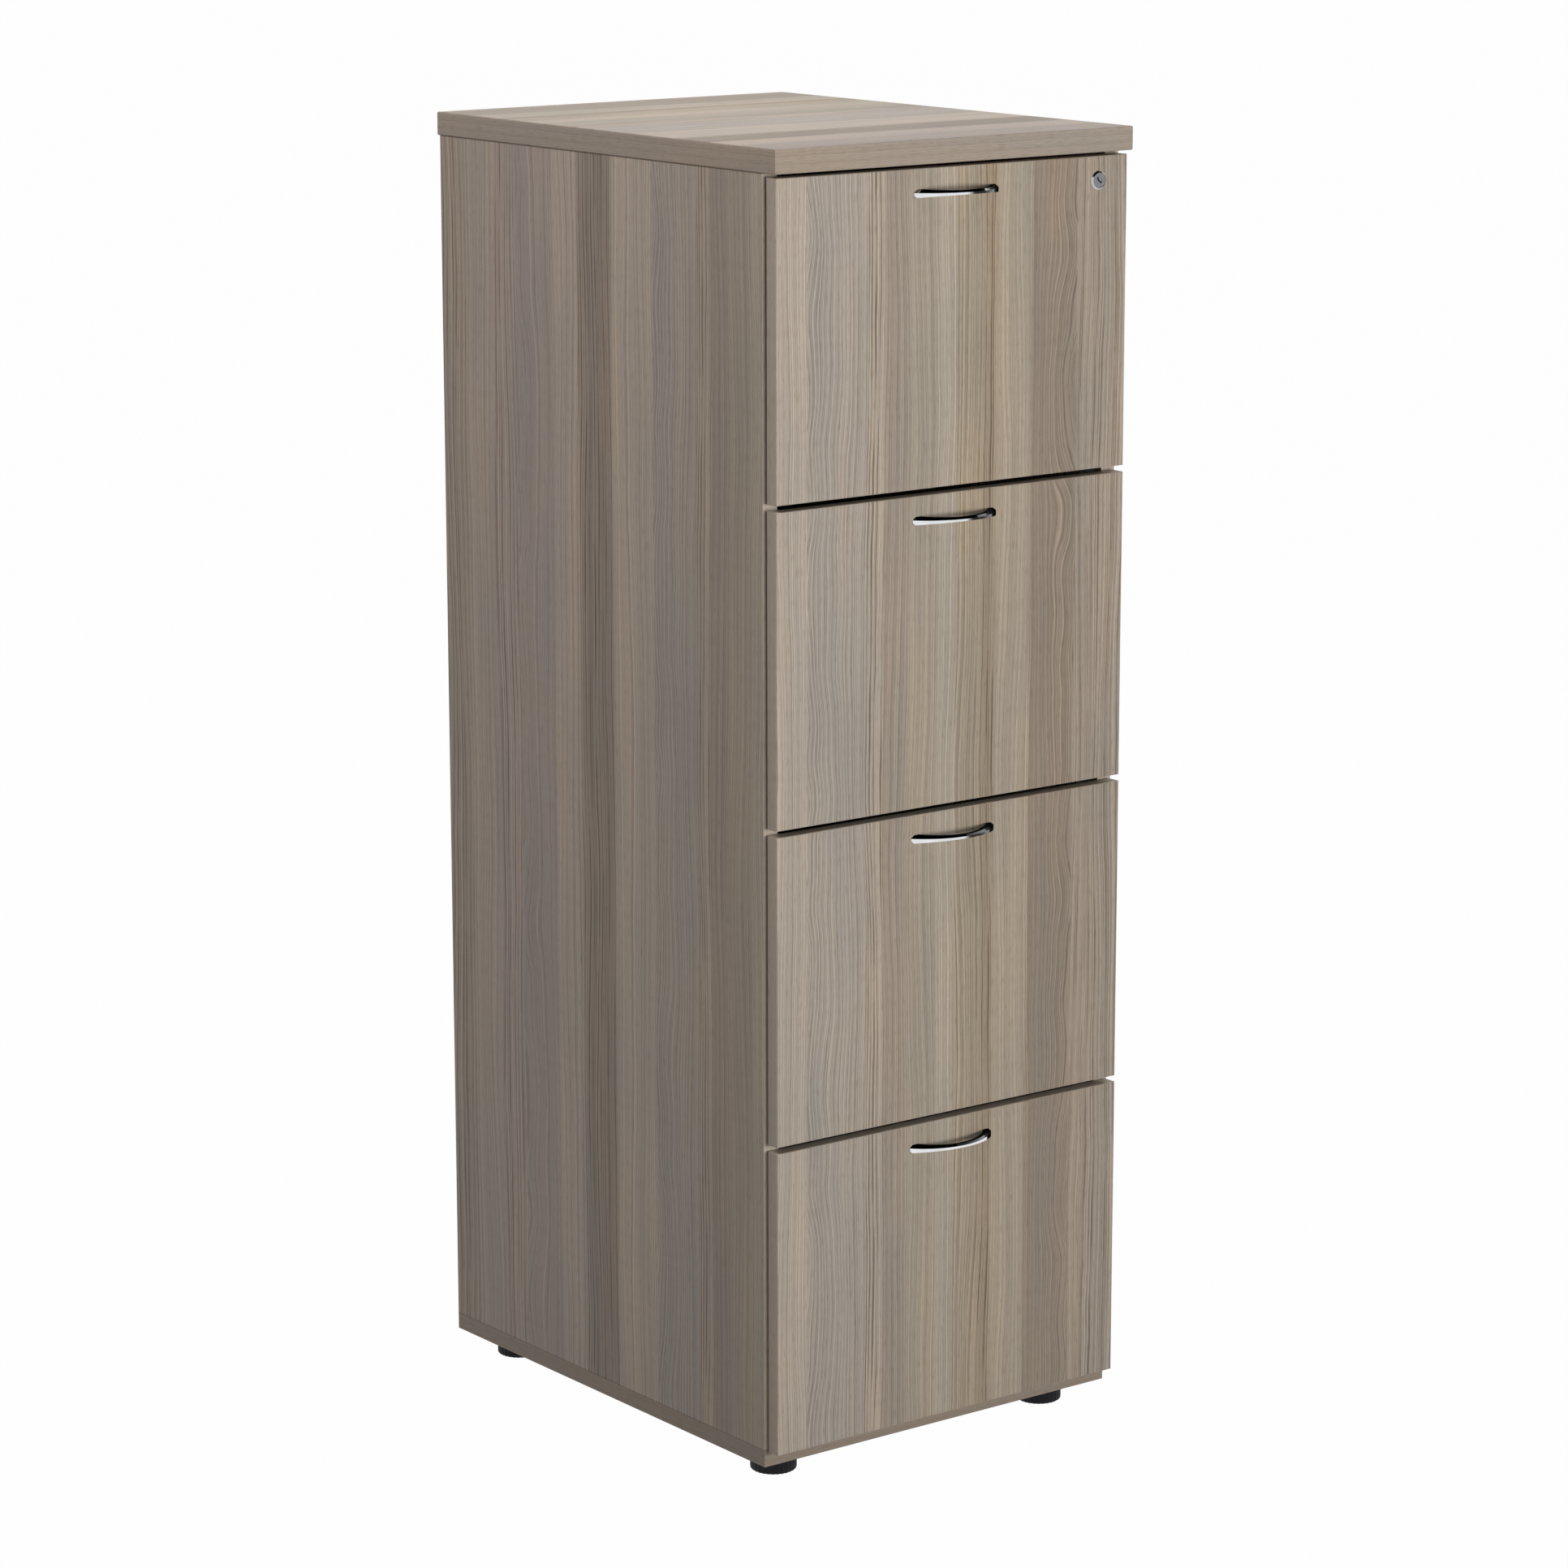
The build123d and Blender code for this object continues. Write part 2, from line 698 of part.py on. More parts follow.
def stem(x, y):
    """Threaded stem of a foot, with a screwdriver slot in its upper end."""
    with BuildPart() as rod:
        with BuildSketch(Plane.XY.offset(stem_floor)):
            with Locations((x, y)):
                RegularPolygon(stem_diameter / 2, stem_sides)
        extrude(amount=foot_height + stem_reach - stem_floor)
        with Locations((x, y, foot_height + stem_reach)):
            Box(stem_diameter, stem_slot_width, 2 * stem_slot_depth, mode=Mode.SUBTRACT)
    return rod


for corner, (x, y) in foot_places.items():
    keep(foot(x, y), f"foot_{corner}")
    keep(stem(x, y), f"foot_stem_{corner}")
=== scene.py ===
import math

import bpy
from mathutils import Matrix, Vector


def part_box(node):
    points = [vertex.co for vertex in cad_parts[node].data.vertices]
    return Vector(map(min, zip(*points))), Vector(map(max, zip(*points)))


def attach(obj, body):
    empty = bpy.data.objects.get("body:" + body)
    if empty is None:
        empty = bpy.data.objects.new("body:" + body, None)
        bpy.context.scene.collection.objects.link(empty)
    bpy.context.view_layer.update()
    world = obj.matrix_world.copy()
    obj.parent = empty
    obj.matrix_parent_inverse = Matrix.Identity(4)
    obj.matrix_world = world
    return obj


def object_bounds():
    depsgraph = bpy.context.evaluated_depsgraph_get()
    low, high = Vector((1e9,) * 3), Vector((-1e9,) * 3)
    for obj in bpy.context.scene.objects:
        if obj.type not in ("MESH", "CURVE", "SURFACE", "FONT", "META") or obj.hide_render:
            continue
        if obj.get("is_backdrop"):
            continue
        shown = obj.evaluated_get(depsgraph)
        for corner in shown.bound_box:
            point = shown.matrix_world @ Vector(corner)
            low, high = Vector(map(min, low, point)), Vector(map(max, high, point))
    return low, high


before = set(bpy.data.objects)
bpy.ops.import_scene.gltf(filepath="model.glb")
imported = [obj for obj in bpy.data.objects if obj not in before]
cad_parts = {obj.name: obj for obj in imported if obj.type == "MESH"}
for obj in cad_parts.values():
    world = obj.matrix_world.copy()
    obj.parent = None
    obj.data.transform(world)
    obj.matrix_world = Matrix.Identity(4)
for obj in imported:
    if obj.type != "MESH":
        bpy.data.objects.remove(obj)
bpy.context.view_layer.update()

# Metres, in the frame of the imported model: the front faces -Y and the floor is at 0.
# Patterns are laid out in millimetres.
X, Y, Z = 0, 1, 2
MM = 0.001
DRAWERS = (1, 2, 3, 4)
FEET = ("front_left", "front_right", "back_left", "back_right")

# Camera, fitted to the corners of the cabinet in the photograph
CAMERA_PLACE = (-3.15486, -4.14793, 1.80469)
CAMERA_YAW = 37.252
CAMERA_PITCH = -12.222
CAMERA_ROLL = 0.066
CAMERA_LENS = 113.15
SENSOR = 36.0

# Studio: lamps as place, point aimed at, size, power and any tint
AIM = (0.0, 0.0, 0.85)
LAMPS = {
    "key_lamp": ((0.6, -5.0, 1.0), (0.0, -0.3, 5.2), 2.2, 245.0),
    "front_lamp": ((0.2, -1.9, 3.4), AIM, 2.0, 12.0),
    "overhead_lamp": ((-0.2, 1.3, 3.4), (0.0, 0.3, 1.4), 1.6, 34.0),
    "side_lamp": ((-2.2, 0.0, 3.2), AIM, 1.6, 47.0, (1.0, 0.953, 0.953)),
    "right_lamp": ((3.2, 0.6, 2.2), AIM, 1.6, 60.0),
    "back_lamp": ((0.6, 3.4, 2.3), AIM, 1.6, 60.0),
}
SKY_LIGHT = 0.07
FLOOR_RADIUS = 70.0
FLOOR_SIDES = 96
FLOOR_COLOUR = (0.30, 0.30, 0.30)
FLOOR_ROUGHNESS = 0.9
FLOOR_GLOSS = 0.1
FLOOR_WHITE = 0.985

# Cards that only reflections show, as place, point aimed at, size, and glow at stops from side to side
CARDS = {
    "overhead_card": (
        (0.0, 0.0, 4.4), (0.0, 0.0, 0.0), (9.0, 9.0),
        ((0.0, 0.0), (1.0, 0.0)),
    ),
    "right_card": (
        (1.18, -0.86, 1.0), (0.0, -0.31, 1.0), (2.1, 2.4),
        ((0.06, 1.0), (0.30, 0.03), (0.50, 0.04), (0.9, 0.28)),
    ),
}

# Small pieces, in mm: the screws from a tray into its front, as rings of radius and rise, the thread
# of the feet, and a bright lip by the keyway, as place, half size, rise and turn
SCREW_SIDES = 12
SCREW_HEAD = ((4.0, 0.0), (4.0, 0.9), (3.6, 1.7), (2.6, 2.2), (1.3, 2.2), (1.3, 0.8))
SCREW_SOCKET = 4
SCREW_INSET = (55.0, 35.0)
TRAY_SHEET = 1.0
THREAD_PITCH = 1.5
LIP_PLACE = (1.9, 0.5)
LIP_SIZE = (1.7, 0.8)
LIP_RISE = 0.25
LIP_TURN = math.radians(-42)
LIP_SIDES = 20
LIP_RINGS = 5

# Shading of the CAD meshes: edges flatter than this angle look round
SHARP_ANGLE = math.radians(32)
MERGE_DISTANCE = 2e-6

# The printed decor: planks side by side, as start in mm, colour and strength of the dark lines
DECOR_START = -302.0
DECOR_LENGTH = 762.0
PLANK_SEAM = 1.2
PLANKS = (
    (-302, (168, 156, 144), 0.22),
    (-252, (170, 157, 147), 0.85),
    (-205, (161, 150, 141), 0.15),
    (-139, (176, 163, 151), 0.30),
    (-91, (152, 140, 127), 1.00),
    (-32, (177, 165, 151), 0.14),
    (40, (165, 156, 146), 0.28),
    (115, (174, 162, 148), 0.92),
    (138, (157, 145, 132), 0.28),
    (172, (161, 150, 135), 0.05),
    (208, (171, 160, 145), 0.08),
    (232, (165, 152, 134), 0.55),
    (266, (158, 144, 126), 1.00),
    (284, (165, 153, 137), 0.16),
    (331, (146, 133, 119), 0.24),
    (392, (162, 150, 136), 0.70),
)
FRONT_START = 230.0
SIDE_START = -40.0
TOP_START = 92.0
BACK_START = 60.0
TOP_BAND = 143.0
BOTTOM_BAND = 340.0

# A board's edge is where its surface leans from the large faces: this share of the normal parts them
FACE_TILT = 0.7

# The grain, in mm: lines that sway along the board, most where the decor has an arched figure, with
# finer hairs between them and pores as short dashes. A figure starts at a plank's seam and fades
# over a width.
FIGURES = ((-205.0, 62.0), (40.0, 70.0), (392.0, -52.0))
FIGURE_ACROSS = 240.0
FIGURE_ALONG = 150.0
FIGURE_SWAY = 46.0
FIGURE_LINES = 0.42
SWAY_ACROSS = 75.0
SWAY_ALONG = 460.0
SWAY = 22.0
RIPPLE_ACROSS = 26.0
RIPPLE_ALONG = 70.0
RIPPLE_SWAY = 2.2
CLOUD_ACROSS = 38.0
CLOUD_ALONG = 320.0
LINE_SPACE = 2.9
HAIR_SPACE = 1.3
VEIN_SPACE = 4.6
BREAK_ACROSS = 6.0
BREAK_ALONG = 120.0
EDGE_CALM = 0.65
PORE_ACROSS = 0.5
PORE_ALONG = 16.0
STREAK_TINT = (0.37, 0.32, 0.28)
# Painted shade in the joints where a side board meets the top and bottom boards: its tint, and its width
# in mm
JOINT_SHADE_TINT = (0.42, 0.36, 0.32)
JOINT_SHADE_WIDTH = 1.1
PORE_TINT = (0.76, 0.73, 0.70)
WARM_TINT = (1.03, 1.0, 0.965)
COOL_TINT = (0.975, 1.0, 1.015)

# How the patterns show: the noise values between which a mark sets in, and the factors that a noise
# puts on the colour over the range that it mostly covers
NOISE_RANGE = (0.3, 0.7)
NOISE_MIDDLE = 0.5
LINE_EDGE = (0.52, 0.37)
PORE_EDGE = (0.40, 0.28)
WARM_EDGE = (0.5, 0.72)
COOL_EDGE = (0.5, 0.28)
BREAK_EDGE = (0.3, 0.6)
BREAK_LEAST = 0.35
# Share of a joint's width that its painted shade fills fully
JOINT_SHADE_CORE = 0.4
HAIR_LIGHT = (0.81, 1.15)
VEIN_LIGHT = (0.90, 1.09)
CLOUD_LIGHT = (0.96, 1.04)
LAMINATE_ROUGHNESS = (0.52, 0.42)
LAMINATE_GLOSS = 0.25
LAMINATE_RELIEF = 0.04 * MM

# Metal, coats and beech: factors on the tone, spacing of marks in mm along X, Y and Z, and relief
METAL_LIGHT = (0.93, 1.04)
MARKS_ALONG_Y = (0.8, 40.0, 0.8)
MARKS_ALONG_Z = (0.8, 0.8, 60.0)
MARKS_EVEN = (0.25, 0.25, 0.25)
METAL_RELIEF = 0.02 * MM
FACE_RELIEF = 0.03 * MM
COAT_LIGHT = (0.92, 1.06)
COAT_CLOUD = 0.012
COAT_GLOSS = 0.5
ZINC_TONE = (188, 190, 194)
ZINC_ROUGHNESS = (0.28, 0.42)
# Painted shade in a thread's grooves, up to a little painted light on its crests, as factors on the tone
THREAD_PAINTED_SHADE = (0.55, 1.05)
THREAD_CLOUD = 0.3
THREAD_CLOUD_LIGHT = (0.95, 1.04)
THREAD_RELIEF = 0.6 * MM
HALF_PITCH = 0.5
BEECH_DARK = (176, 134, 94)
BEECH_PALE = (208, 172, 128)
BEECH_ROUGHNESS = (0.6, 0.7)
FLECK_EDGE = (0.35, 0.6)
FLECK_SCALE = 1.2
FLECK_STRETCH = 9.0


def linear(tone):
    """A colour given as three steps of 0 to 255 on a screen, as linear red, green, blue and alpha."""
    shares = [step / 255 for step in tone]
    return [s / 12.92 if s <= 0.04045 else ((s + 0.055) / 1.055) ** 2.4 for s in shares] + [1.0]


def box_mm(node):
    """The low and the high corner of a node's box, in mm."""
    return [[value / MM for value in corner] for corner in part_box(node)]


class Tree:
    """One material's node tree, with short calls for the nodes used here."""

    def __init__(self, name):
        self.material = bpy.data.materials.new(name)
        self.material.use_nodes = True
        self.nodes = self.material.node_tree.nodes
        self.links = self.material.node_tree.links
        self.shader = self.nodes["Principled BSDF"]

    def node(self, kind, **settings):
        made = self.nodes.new(kind)
        for key, value in settings.items():
            setattr(made, key, value)
        return made

    def put(self, socket, value):
        """Links another node's output to a socket, or writes a plain value on it."""
        if isinstance(value, bpy.types.NodeSocket):
            self.links.new(value, socket)
        else:
            socket.default_value = value

    def shade(self, **values):
        """Sets the main shader's sockets, named in lower case with underscores."""
        for socket in self.shader.inputs:
            key = socket.name.lower().replace(" ", "_")
            if key in values:
                self.put(socket, values[key])

    def math(self, operation, *values):
        made = self.node("ShaderNodeMath", operation=operation)
        for socket, value in zip(made.inputs, values):
            self.put(socket, value)
        return made.outputs[0]

    def choose(self, share, first, second):
        made = self.node("ShaderNodeMix", data_type="FLOAT")
        for place, value in ((0, share), (2, first), (3, second)):
            self.put(made.inputs[place], value)
        return made.outputs[0]

    def colours(self, share, first, second, way="MIX"):
        made = self.node("ShaderNodeMix", data_type="RGBA", blend_type=way)
        for place, value in ((0, share), (6, first), (7, second)):
            self.put(made.inputs[place], value)
        return made.outputs[2]

    def parts(self, vector, scale=1.0):
        """A vector's x, y and z, times a scale."""
        scaled = self.node("ShaderNodeVectorMath", operation="SCALE")
        self.put(scaled.inputs[0], vector)
        scaled.inputs["Scale"].default_value = scale
        made = self.node("ShaderNodeSeparateXYZ")
        self.put(made.inputs[0], scaled.outputs[0])
        return made.outputs

    def point(self, x, y, z=0.0):
        made = self.node("ShaderNodeCombineXYZ")
        for socket, value in zip(made.inputs, (x, y, z)):
            self.put(socket, value)
        return made.outputs[0]

    def noise(self, place, dimensions="3D", scale=1.0, detail=2.0, roughness=0.5):
        made = self.node("ShaderNodeTexNoise", noise_dimensions=dimensions)
        self.put(made.inputs["W" if dimensions == "1D" else "Vector"], place)
        made.inputs["Scale"].default_value = scale
        made.inputs["Detail"].default_value = detail
        made.inputs["Roughness"].default_value = roughness
        return made.outputs[0]

    def stretched(self, across, along, wide, long, detail):
        """A flat noise whose spots are wide across the grain and long along it."""
        place = self.point(self.math("DIVIDE", across, wide), self.math("DIVIDE", along, long))
        return self.noise(place, "2D", detail=detail)

    def tint(self, colour, share, factors):
        """A colour, times three factors where share is 1."""
        return self.colours(share, colour, self.colours(1.0, colour, factors + (1.0,), "MULTIPLY"))

    def spread(self, value, low, high, first=0.0, last=1.0):
        """Maps low to first and high to last, smoothly, and holds the ends."""
        made = self.node("ShaderNodeMapRange", interpolation_type="SMOOTHSTEP")
        for place, number in enumerate((value, low, high, first, last)):
            self.put(made.inputs[place], number)
        return made.outputs[0]

    def vary(self, noise, first, last):
        """Maps the range that a noise mostly covers to values from first to last."""
        return self.spread(noise, *NOISE_RANGE, first, last)

    def lighten(self, colour, factor):
        """A colour, times one factor."""
        return self.colours(1.0, colour, self.point(factor, factor, factor), "MULTIPLY")

    def bump(self, height, distance):
        made = self.node("ShaderNodeBump")
        made.inputs["Strength"].default_value = 1.0
        made.inputs["Distance"].default_value = distance
        self.put(made.inputs["Height"], height)
        return made.outputs[0]

    def place(self):
        """Where a point of the piece is, as x, y and z in mm."""
        coordinates = self.node("ShaderNodeTexCoord")
        return self.parts(coordinates.outputs["Object"], 1 / MM)


def decor_ramp(tree, position):
    """The printed planks over a position in mm: their colour, and the strength of their lines."""
    turned = tree.math("WRAP", position, DECOR_START + DECOR_LENGTH, DECOR_START)
    share = tree.math("DIVIDE", tree.math("SUBTRACT", turned, DECOR_START), DECOR_LENGTH)
    ramp = tree.node("ShaderNodeValToRGB")
    ends = [plank[0] for plank in PLANKS[1:]] + [DECOR_START + DECOR_LENGTH]
    stops = []
    for (start, tone, lines), end in zip(PLANKS, ends):
        colour = linear(tone)[:3] + [lines]
        stops += [(start + PLANK_SEAM, colour), (end - PLANK_SEAM, colour)]
    elements = ramp.color_ramp.elements
    while len(elements) < len(stops):
        elements.new(1.0)
    for element, (stop, colour) in zip(elements, stops):
        element.position = (stop - DECOR_START) / DECOR_LENGTH
        element.color = colour
    tree.put(ramp.inputs[0], share)
    return ramp.outputs["Color"], ramp.outputs["Alpha"]


def wood(node, face, grain, direction, start, band=0.0, joined=False):
    """Wood-effect laminate of one board. Its large faces look along the axis face, with the grain along
    the axis grain; the decor starts there at start and runs with direction. Edge bands have their
    grain along the edge, and their decor starts at band. A board joined at its ends gets a dark line
    of painted shade in the joints there."""
    tree = Tree(node + "_laminate")
    across = X + Y + Z - face - grain
    low, high = box_mm(node)
    place = tree.place()
    coordinates = tree.node("ShaderNodeTexCoord")
    normal = tree.parts(coordinates.outputs["Normal"])
    on_edge = tree.math("LESS_THAN", tree.math("ABSOLUTE", normal[face]), FACE_TILT)
    on_end = tree.math("GREATER_THAN", tree.math("ABSOLUTE", normal[grain]), FACE_TILT)
    laid = tree.math("MULTIPLY_ADD", place[across], direction, start)
    banded = tree.math("SUBTRACT", place[face], low[face] - band)
    position = tree.choose(on_edge, laid, banded)
    along = tree.choose(on_end, place[grain], place[across])

    colour, lines = decor_ramp(tree, position)
    calm = tree.math("MULTIPLY_ADD", on_edge, -EDGE_CALM, 1.0)
    bend = tree.stretched(position, along, SWAY_ACROSS, SWAY_ALONG, detail=1.0)
    ripple = tree.stretched(position, along, RIPPLE_ACROSS, RIPPLE_ALONG, detail=1.0)
    cloud = tree.stretched(position, along, CLOUD_ACROSS, CLOUD_ALONG, detail=2.0)
    pore = tree.stretched(position, along, PORE_ACROSS, PORE_ALONG, detail=1.0)
    broken = tree.stretched(position, along, BREAK_ACROSS, BREAK_ALONG, detail=1.0)
    figure = tree.stretched(position, along, FIGURE_ACROSS, FIGURE_ALONG, detail=1.0)
    arch = tree.math("SUBTRACT", figure, NOISE_MIDDLE)
    sway = tree.math("SUBTRACT", bend, NOISE_MIDDLE)
    ring = tree.math("MULTIPLY_ADD", sway, tree.math("MULTIPLY", calm, SWAY), position)
    for seam, width in FIGURES:
        away = tree.math("DIVIDE", tree.math("SUBTRACT", position, seam), width)
        reach = tree.math("MULTIPLY", tree.spread(away, 1.0, 0.0), tree.math("GREATER_THAN", away, 0.0))
        ring = tree.math("MULTIPLY_ADD", tree.math("MULTIPLY", arch, FIGURE_SWAY), reach, ring)
        lines = tree.math("MAXIMUM", lines, tree.math("MULTIPLY", reach, FIGURE_LINES))
    ring = tree.math("MULTIPLY_ADD", ripple, tree.math("MULTIPLY", calm, RIPPLE_SWAY), ring)
    line = tree.noise(tree.math("DIVIDE", ring, LINE_SPACE), "1D", detail=2.0, roughness=0.6)
    hair = tree.noise(tree.math("DIVIDE", ring, HAIR_SPACE), "1D", detail=1.0)
    vein = tree.noise(tree.math("DIVIDE", ring, VEIN_SPACE), "1D", detail=1.0)

    tinted = tree.tint(colour, tree.spread(cloud, *WARM_EDGE), WARM_TINT)
    tinted = tree.tint(tinted, tree.spread(cloud, *COOL_EDGE), COOL_TINT)
    whole = tree.spread(broken, *BREAK_EDGE, BREAK_LEAST, 1.0)
    strength = tree.math("MULTIPLY", tree.math("MULTIPLY", lines, calm), whole)
    streak = tree.math("MULTIPLY", tree.spread(line, *LINE_EDGE), strength)
    stained = tree.tint(tinted, streak, STREAK_TINT)
    light = tree.math("MULTIPLY", tree.vary(hair, *HAIR_LIGHT), tree.vary(vein, *VEIN_LIGHT))
    light = tree.math("MULTIPLY", light, tree.vary(cloud, *CLOUD_LIGHT))
    light = tree.math("MULTIPLY_ADD", tree.math("SUBTRACT", light, 1.0), calm, 1.0)
    haired = tree.lighten(stained, light)
    finished = tree.tint(haired, tree.spread(pore, *PORE_EDGE), PORE_TINT)
    # Painted shade: a dark line in the joints at the board's ends, where it meets the boards above and
    # below
    if joined:
        above = tree.math("SUBTRACT", place[grain], low[grain])
        below = tree.math("SUBTRACT", high[grain], place[grain])
        end = tree.math("MINIMUM", above, below)
        finished = tree.tint(finished, tree.spread(end, JOINT_SHADE_WIDTH, JOINT_SHADE_CORE * JOINT_SHADE_WIDTH), JOINT_SHADE_TINT)
    tree.shade(
        base_color=finished,
        roughness=tree.vary(line, *LAMINATE_ROUGHNESS),
        specular_ior_level=LAMINATE_GLOSS,
        normal=tree.bump(tree.math("ADD", hair, pore), LAMINATE_RELIEF),
    )
    return tree.material


def metal(name, tone, grain, roughness, relief=0.0, space=MARKS_ALONG_Y):
    """Bare or plated metal: fine marks along the axis with the long space make its roughness vary."""
    tree = Tree(name)
    place = tree.place()
    marked = tree.point(*[tree.math("DIVIDE", value, step) for value, step in zip(place, space)])
    marks = tree.noise(marked, detail=3.0)
    cloud = tree.noise(tree.point(*place), scale=grain, detail=2.0)
    tree.shade(
        base_color=tree.lighten(linear(tone), tree.vary(cloud, *METAL_LIGHT)),
        metallic=1.0,
        roughness=tree.vary(marks, *roughness),
    )
    if relief:
        tree.shade(normal=tree.bump(marks, relief))
    return tree.material


def coated(name, tone, grain, roughness, relief, gloss=COAT_GLOSS):
    """Powder coat or moulded plastic: a fine skin with some variation in tone and gloss."""
    tree = Tree(name)
    place = tree.point(*tree.place())
    skin = tree.noise(place, scale=grain, detail=3.0)
    cloud = tree.noise(place, scale=COAT_CLOUD, detail=2.0)
    tree.shade(
        base_color=tree.lighten(linear(tone), tree.vary(cloud, *COAT_LIGHT)),
        roughness=tree.vary(skin, *roughness),
        specular_ior_level=gloss,
        normal=tree.bump(skin, relief),
    )
    return tree.material


def threaded(name, node):
    """Zinc plate with a screw thread round a stem's upright middle line. Its colour is darker in the
    grooves and a little lighter on the crests: painted shade and painted light.
    """
    tree = Tree(name)
    low, high = box_mm(node)
    x, y, z = tree.place()
    side = tree.math("SUBTRACT", x, (low[X] + high[X]) / 2)
    front = tree.math("SUBTRACT", y, (low[Y] + high[Y]) / 2)
    turn = tree.math("DIVIDE", tree.math("ARCTAN2", front, side), 2 * math.pi)
    climb = tree.math("SUBTRACT", tree.math("DIVIDE", z, THREAD_PITCH), turn)
    groove = tree.math("PINGPONG", climb, HALF_PITCH)
    cloud = tree.noise(tree.point(x, y, z), scale=THREAD_CLOUD, detail=2.0)
    # Painted shade in the thread's grooves, and a little painted light on its crests
    groove_shade = tree.spread(groove, 0.0, HALF_PITCH, *THREAD_PAINTED_SHADE)
    shade = tree.math("MULTIPLY", groove_shade, tree.vary(cloud, *THREAD_CLOUD_LIGHT))
    tree.shade(
        base_color=tree.lighten(linear(ZINC_TONE), shade),
        metallic=1.0,
        roughness=tree.vary(cloud, *ZINC_ROUGHNESS),
        normal=tree.bump(groove, THREAD_RELIEF),
    )
    return tree.material


def beech():
    """Plain beech: pale, with short darker flecks along the tongue."""
    tree = Tree("beech")
    x, y, z = tree.place()
    stretched = tree.point(x, tree.math("DIVIDE", y, FLECK_STRETCH), z)
    flecks = tree.noise(stretched, scale=FLECK_SCALE, detail=2.0)
    tree.shade(
        base_color=tree.colours(tree.spread(flecks, *FLECK_EDGE), linear(BEECH_DARK), linear(BEECH_PALE)),
        roughness=tree.vary(flecks, *BEECH_ROUGHNESS),
    )
    return tree.material


def smooth_group():
    """A modifier's node group: joins the faces of a CAD mesh and shades its round ones smooth."""
    group = bpy.data.node_groups.new("smooth_by_angle", "GeometryNodeTree")
    for way in ("INPUT", "OUTPUT"):
        group.interface.new_socket("Geometry", in_out=way, socket_type="NodeSocketGeometry")
    start = group.nodes.new("NodeGroupInput")
    bare = group.nodes.new("GeometryNodeRemoveAttribute")
    bare.inputs["Name"].default_value = "custom_normal"
    joined = group.nodes.new("GeometryNodeMergeByDistance")
    joined.inputs["Distance"].default_value = MERGE_DISTANCE
    faces = group.nodes.new("GeometryNodeSetShadeSmooth")
    edges = group.nodes.new("GeometryNodeSetShadeSmooth")
    edges.domain = "EDGE"
    angle = group.nodes.new("GeometryNodeInputMeshEdgeAngle")
    flat = group.nodes.new("FunctionNodeCompare")
    flat.operation = "LESS_THAN"
    flat.inputs[1].default_value = SHARP_ANGLE
    group.links.new(angle.outputs["Unsigned Angle"], flat.inputs[0])
    group.links.new(flat.outputs[0], edges.inputs["Shade Smooth"])
    chain = (start, bare, joined, faces, edges, group.nodes.new("NodeGroupOutput"))
    for one, following in zip(chain, chain[1:]):
        group.links.new(one.outputs[0], following.inputs[0])
    return group


smooth = smooth_group()


def dress(node, material):
    """Gives a CAD node its material, and smooth shading on its round faces."""
    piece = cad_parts[node]
    piece.data.materials.clear()
    piece.data.materials.append(material)
    piece.modifiers.new("smooth", "NODES").node_group = smooth


# Boards
dress("top_panel", wood("top_panel", Z, X, 1.0, TOP_START, TOP_BAND))
dress("bottom_panel", wood("bottom_panel", Z, X, 1.0, TOP_START, BOTTOM_BAND))
# The side boards get a line of painted shade in the joints at their ends
dress("left_side_panel", wood("left_side_panel", X, Z, -1.0, SIDE_START, joined=True))
dress("right_side_panel", wood("right_side_panel", X, Z, 1.0, SIDE_START, joined=True))
dress("back_panel", wood("back_panel", Y, Z, -1.0, BACK_START))
dress("carcass_tongues", beech())

# The fronts share one sheet of decor. Reflections don't show them, so the handles' right ends mirror the
# dark inside, as dark as in the photograph.
front_laminate = wood("drawer_1_front", Y, Z, 1.0, FRONT_START)
for number in DRAWERS:
    dress(f"drawer_{number}_front", front_laminate)
    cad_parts[f"drawer_{number}_front"].visible_glossy = False

# Metal and plastic, as tone, scale of the variation per mm, and roughness from and to
chrome = metal("handle_chrome", (226, 228, 230), 0.05, (0.05, 0.11))
lock_chrome = metal("lock_chrome", (192, 194, 197), 0.08, (0.14, 0.24))
runner_zinc = metal("runner_zinc", (196, 199, 204), 0.02, (0.24, 0.38), METAL_RELIEF)
fixing_zinc = metal("fixing_zinc", ZINC_TONE, 0.05, ZINC_ROUGHNESS, METAL_RELIEF)
lock_face = metal("lock_face", (202, 205, 207), 0.5, (0.42, 0.55), FACE_RELIEF, MARKS_EVEN)
bar_aluminium = metal("bar_aluminium", (206, 208, 211), 0.02, (0.30, 0.42), METAL_RELIEF, MARKS_ALONG_Z)
tray_coat = coated("tray_coat", (142, 144, 146), 1.1, (0.42, 0.56), 0.05 * MM)
clip_plastic = coated("clip_plastic", (34, 34, 35), 2.0, (0.45, 0.60), 0.03 * MM)
foot_plastic = coated("foot_plastic", (15, 15, 19), 1.6, (0.50, 0.65), 0.04 * MM, gloss=0.2)
for number in DRAWERS:
    drawer = f"drawer_{number}"
    dress(drawer + "_handle", chrome)
    dress(drawer + "_tray", tray_coat)
    dress(drawer + "_handle_screws", fixing_zinc)
    dress(drawer + "_catch", fixing_zinc)
    for stage in ("outer", "middle", "inner"):
        dress(f"{drawer}_{stage}_runners", runner_zinc)
for foot in FEET:
    dress("foot_" + foot, foot_plastic)
    stem = "foot_stem_" + foot
    dress(stem, threaded(stem + "_thread", stem))
for node, material in (
    ("foot_sleeves", fixing_zinc),
    ("lock_barrel", lock_chrome),
    ("lock_rotor", lock_face),
    ("lock_nut", fixing_zinc),
    ("lock_cam", fixing_zinc),
    ("lock_driver", fixing_zinc),
    ("lock_bar", bar_aluminium),
    ("lock_bar_pins", fixing_zinc),
    ("lock_bar_clips", clip_plastic),
):
    dress(node, material)


